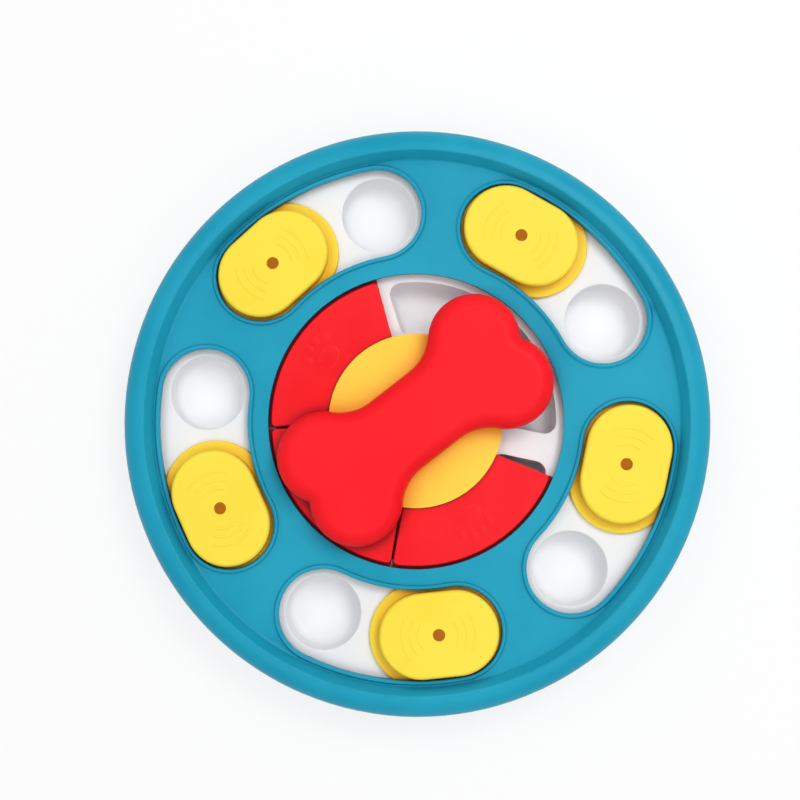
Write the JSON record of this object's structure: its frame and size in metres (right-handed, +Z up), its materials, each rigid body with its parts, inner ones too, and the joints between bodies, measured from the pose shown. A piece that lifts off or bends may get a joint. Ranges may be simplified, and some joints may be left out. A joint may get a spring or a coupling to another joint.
{
  "type": "dog puzzle feeder toy",
  "caption": "Round covered treat tray for a dog, with buttons that slide in arc slots, sector lids that slide round the centre and a turning bone-shaped handle.",
  "frame": {"origin": "on the floor, under the middle of the round body", "axes": "+Z up, along the axis of the round body and of the bone's pivot; +X and +Y level, +X to the right of someone who looks along +Y"},
  "size_m": [0.25, 0.25, 0.0441],
  "materials": {
    "cover_turquoise": "satin moulded plastic, turquoise",
    "tray_white": "satin moulded plastic, white",
    "button_yellow": "satin moulded plastic, lemon yellow",
    "lid_red": "satin moulded plastic, bright red",
    "dome_yellow": "satin moulded plastic, warm yellow",
    "bone_red": "satin moulded plastic, bright red",
    "screw_steel": "zinc-plated steel",
    "foot_rubber": "soft pale grey rubber"
  },
  "bodies": {
    "base": {"top_cover": "cover_turquoise", "tray_rim": "tray_white", "tray_hub": "tray_white", "tray_deck_1": "tray_white", "tray_deck_2": "tray_white", "tray_deck_3": "tray_white", "tray_deck_4": "tray_white", "tray_deck_5": "tray_white", "tray_centre_1": "tray_white", "tray_centre_2": "tray_white", "tray_centre_3": "tray_white", "centre_bowls": "tray_white", "bowls_1": "tray_white", "bowls_2": "tray_white", "bowls_3": "tray_white", "bowls_4": "tray_white", "bowls_5": "tray_white", "hub_dome": "dome_yellow", "cover_screws": "screw_steel", "hub_screws": "screw_steel", "foot_1": "foot_rubber", "foot_2": "foot_rubber", "foot_3": "foot_rubber", "foot_4": "foot_rubber", "foot_5": "foot_rubber"},
    "slider_1": {"slider_1": "button_yellow"},
    "slider_2": {"slider_2": "button_yellow"},
    "slider_3": {"slider_3": "button_yellow"},
    "slider_4": {"slider_4": "button_yellow"},
    "slider_5": {"slider_5": "button_yellow"},
    "lid_1": {"lid_1": "lid_red"},
    "lid_2": {"lid_2": "lid_red"},
    "lid_3": {"lid_3": "lid_red"},
    "bone": {"bone_handle": "bone_red", "pivot_screw": "screw_steel", "pivot_washer": "screw_steel"}
  },
  "joints": [
    {"name": "slider_1_slide", "type": "hinge", "parent": "base", "child": "slider_1", "pos_m": [0, 0, 0.025], "axis": [0, 0, 1], "range_deg": [-27.5, 0.5]},
    {"name": "slider_2_slide", "type": "hinge", "parent": "base", "child": "slider_2", "pos_m": [0, 0, 0.025], "axis": [0, 0, 1], "range_deg": [-27.5, 0.5]},
    {"name": "slider_3_slide", "type": "hinge", "parent": "base", "child": "slider_3", "pos_m": [0, 0, 0.025], "axis": [0, 0, 1], "range_deg": [-27.5, 0.5]},
    {"name": "slider_4_slide", "type": "hinge", "parent": "base", "child": "slider_4", "pos_m": [0, 0, 0.025], "axis": [0, 0, 1], "range_deg": [-27.5, 0.5]},
    {"name": "slider_5_slide", "type": "hinge", "parent": "base", "child": "slider_5", "pos_m": [0, 0, 0.025], "axis": [0, 0, 1], "range_deg": [-27.5, 0.5]},
    {"name": "lid_2_turn", "type": "hinge", "parent": "base", "child": "lid_2", "pos_m": [0, 0, 0.0226], "axis": [0, 0, 1], "continuous": true},
    {"name": "lid_1_turn", "type": "hinge", "parent": "lid_2", "child": "lid_1", "pos_m": [0, 0, 0.0226], "axis": [0, 0, 1], "range_deg": [-63, 0]},
    {"name": "lid_3_turn", "type": "hinge", "parent": "lid_2", "child": "lid_3", "pos_m": [0, 0, 0.0226], "axis": [0, 0, 1], "range_deg": [0, 63]},
    {"name": "bone_turn", "type": "hinge", "parent": "base", "child": "bone", "pos_m": [0, 0, 0.03], "axis": [0, 0, 1], "continuous": true}
  ]
}
